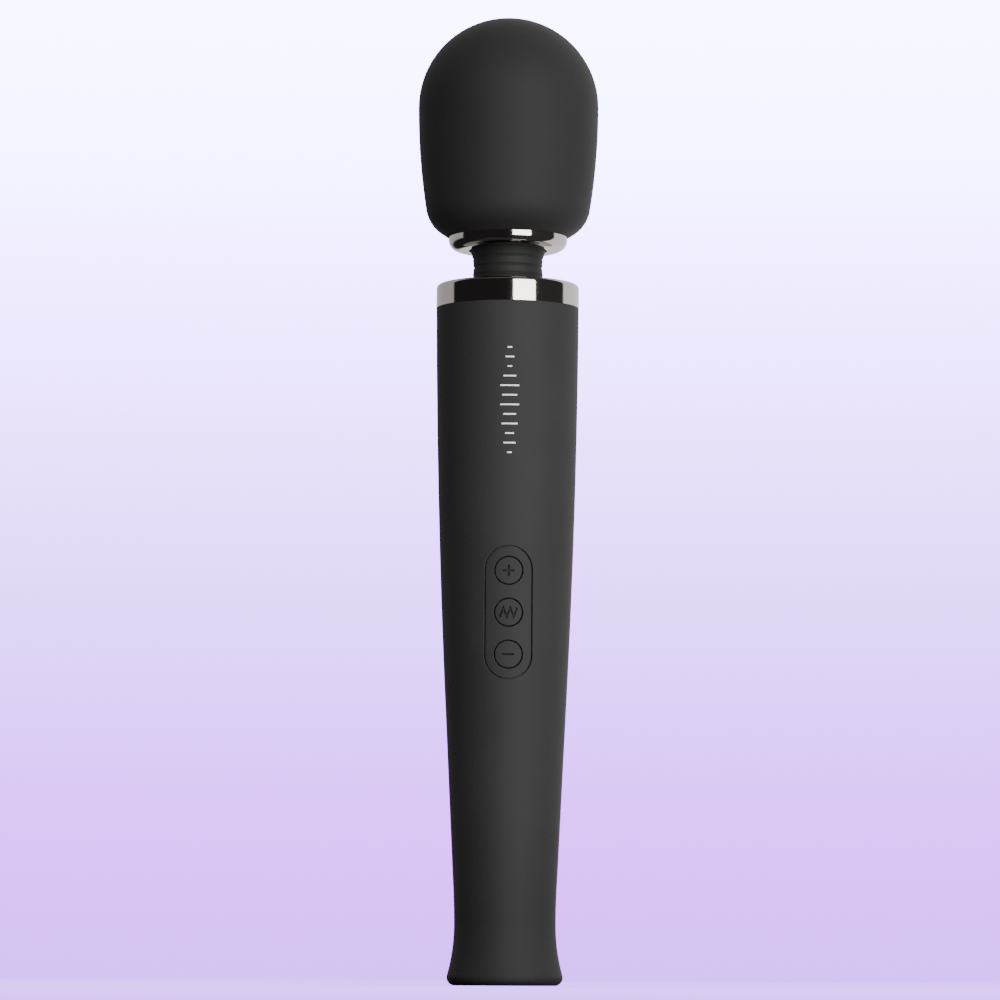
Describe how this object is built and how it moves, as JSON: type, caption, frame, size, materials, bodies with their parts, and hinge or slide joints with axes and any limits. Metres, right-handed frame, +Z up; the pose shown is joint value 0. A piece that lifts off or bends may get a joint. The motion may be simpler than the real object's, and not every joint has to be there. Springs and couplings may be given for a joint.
{
  "type": "handheld wand massager",
  "caption": "Cordless wand massager: soft domed head on a flexible ribbed neck, tapered soft-touch grip with a keypad and a flared foot it stands on.",
  "frame": {"origin": "middle of the foot's flat underside", "axes": "+Z up along the wand to the head; the buttons face -Y; +X is to the right of someone facing the buttons"},
  "size_m": [0.0639, 0.0638, 0.3422],
  "materials": {
    "grip_silicone": "soft-touch matte",
    "head_silicone": "matte silicone",
    "neck_rubber": "matte ribbed rubber",
    "dark_chrome": "gunmetal mirror",
    "keypad_black": "matte",
    "button_black": "matte",
    "foot_black": "fine grain",
    "shell_plastic": "moulded",
    "cup_plastic": "moulded",
    "zinc_steel": "zinc plated",
    "spring_steel": "oiled wire",
    "ground_steel": "ground",
    "weight_steel": "machined",
    "can_steel": "nickel plated",
    "lamination_steel": "stamped",
    "brass": "turned",
    "copper": "lacquered copper",
    "magnet_black": "sintered",
    "carbon": "pressed carbon",
    "jack_black": "moulded",
    "board_green": "lacquered",
    "key_white": "moulded",
    "cell_wrap": "shrink wrap",
    "seal_rubber": "soft",
    "lead_red": "insulated"
  },
  "bodies": {
    "handle": {"grip_skin": "grip_silicone", "handle_shell_front": "shell_plastic", "handle_shell_rear": "shell_plastic", "shell_screws": "zinc_steel", "collar_ring": "dark_chrome", "base_cap": "foot_black", "base_seal": "seal_rubber", "charge_jack": "jack_black", "charge_pin": "brass", "charge_board": "board_green", "battery_cell_lower": "cell_wrap", "battery_cell_upper": "cell_wrap", "battery_holder": "shell_plastic", "battery_tabs": "can_steel", "main_board": "board_green", "board_chips": "jack_black", "tact_switches": "jack_black", "keypad_bezel": "keypad_black", "keypad_seal": "seal_rubber", "motor_can": "can_steel", "motor_end_cap": "jack_black", "motor_magnets": "magnet_black", "motor_brushes": "carbon", "motor_bushes": "brass", "motor_mount_lower": "seal_rubber", "motor_mount_upper": "seal_rubber", "motor_leads": "lead_red", "battery_leads": "lead_red", "jack_leads": "lead_red", "neck_flange_lower": "cup_plastic", "neck_screws": "zinc_steel"},
    "plus_key": {"button_plus": "button_black", "switch_plunger_plus": "key_white"},
    "mode_key": {"button_mode": "button_black", "switch_plunger_mode": "key_white"},
    "minus_key": {"button_minus": "button_black", "switch_plunger_minus": "key_white"},
    "rotor": {"motor_shaft": "ground_steel", "motor_armature": "lamination_steel", "motor_windings": "copper", "motor_commutator": "copper", "coupling_hub_lower": "brass"},
    "neck": {"neck_sleeve": "neck_rubber", "neck_spring": "spring_steel", "spring_guide": "key_white"},
    "drive_coupling": {"drive_spring": "spring_steel"},
    "head": {"head_cover": "head_silicone", "head_ring": "dark_chrome", "head_base": "cup_plastic", "head_dome": "cup_plastic", "bearing_bridge": "cup_plastic", "head_screws": "zinc_steel", "neck_flange_upper": "cup_plastic", "bearing_outer_races": "ground_steel"},
    "eccentric": {"eccentric_shaft": "ground_steel", "eccentric_weight": "weight_steel", "shaft_clip": "zinc_steel", "coupling_hub_upper": "brass", "bearing_inner_races": "ground_steel", "bearing_balls": "ground_steel"}
  },
  "joints": [
    {"name": "plus_press", "type": "slide", "parent": "handle", "child": "plus_key", "axis": [0, 1, 0], "range_m": [0, 0.0005], "stiffness_N_per_m": 3000},
    {"name": "mode_press", "type": "slide", "parent": "handle", "child": "mode_key", "axis": [0, 1, 0], "range_m": [0, 0.0005], "stiffness_N_per_m": 3000},
    {"name": "minus_press", "type": "slide", "parent": "handle", "child": "minus_key", "axis": [0, 1, 0], "range_m": [0, 0.0005], "stiffness_N_per_m": 3000},
    {"name": "motor_spin", "type": "hinge", "parent": "handle", "child": "rotor", "pos_m": [0, 0, 0.195], "axis": [0, 0, 1], "continuous": true},
    {"name": "neck_tilt_front", "type": "hinge", "parent": "handle", "child": "neck", "pos_m": [0, 0, 0.249], "axis": [1, 0, 0], "range_deg": [-12, 12], "stiffness_Nm_per_rad": 3.5, "deforming": ["neck_sleeve", "neck_spring"]},
    {"name": "neck_tilt_side", "type": "hinge", "parent": "neck", "child": "head", "pos_m": [0, 0, 0.256], "axis": [0, 1, 0], "range_deg": [-12, 12], "stiffness_Nm_per_rad": 3.5},
    {"name": "coupling_spin", "type": "hinge", "parent": "neck", "child": "drive_coupling", "pos_m": [0, 0, 0.252], "axis": [0, 0, 1], "continuous": true, "deforming": ["drive_spring"]},
    {"name": "eccentric_spin", "type": "hinge", "parent": "head", "child": "eccentric", "pos_m": [0, 0, 0.29], "axis": [0, 0, 1], "continuous": true}
  ],
  "couplings": [
    {"joint": "coupling_spin", "follows": "motor_spin", "ratio": 1},
    {"joint": "eccentric_spin", "follows": "motor_spin", "ratio": 1}
  ]
}
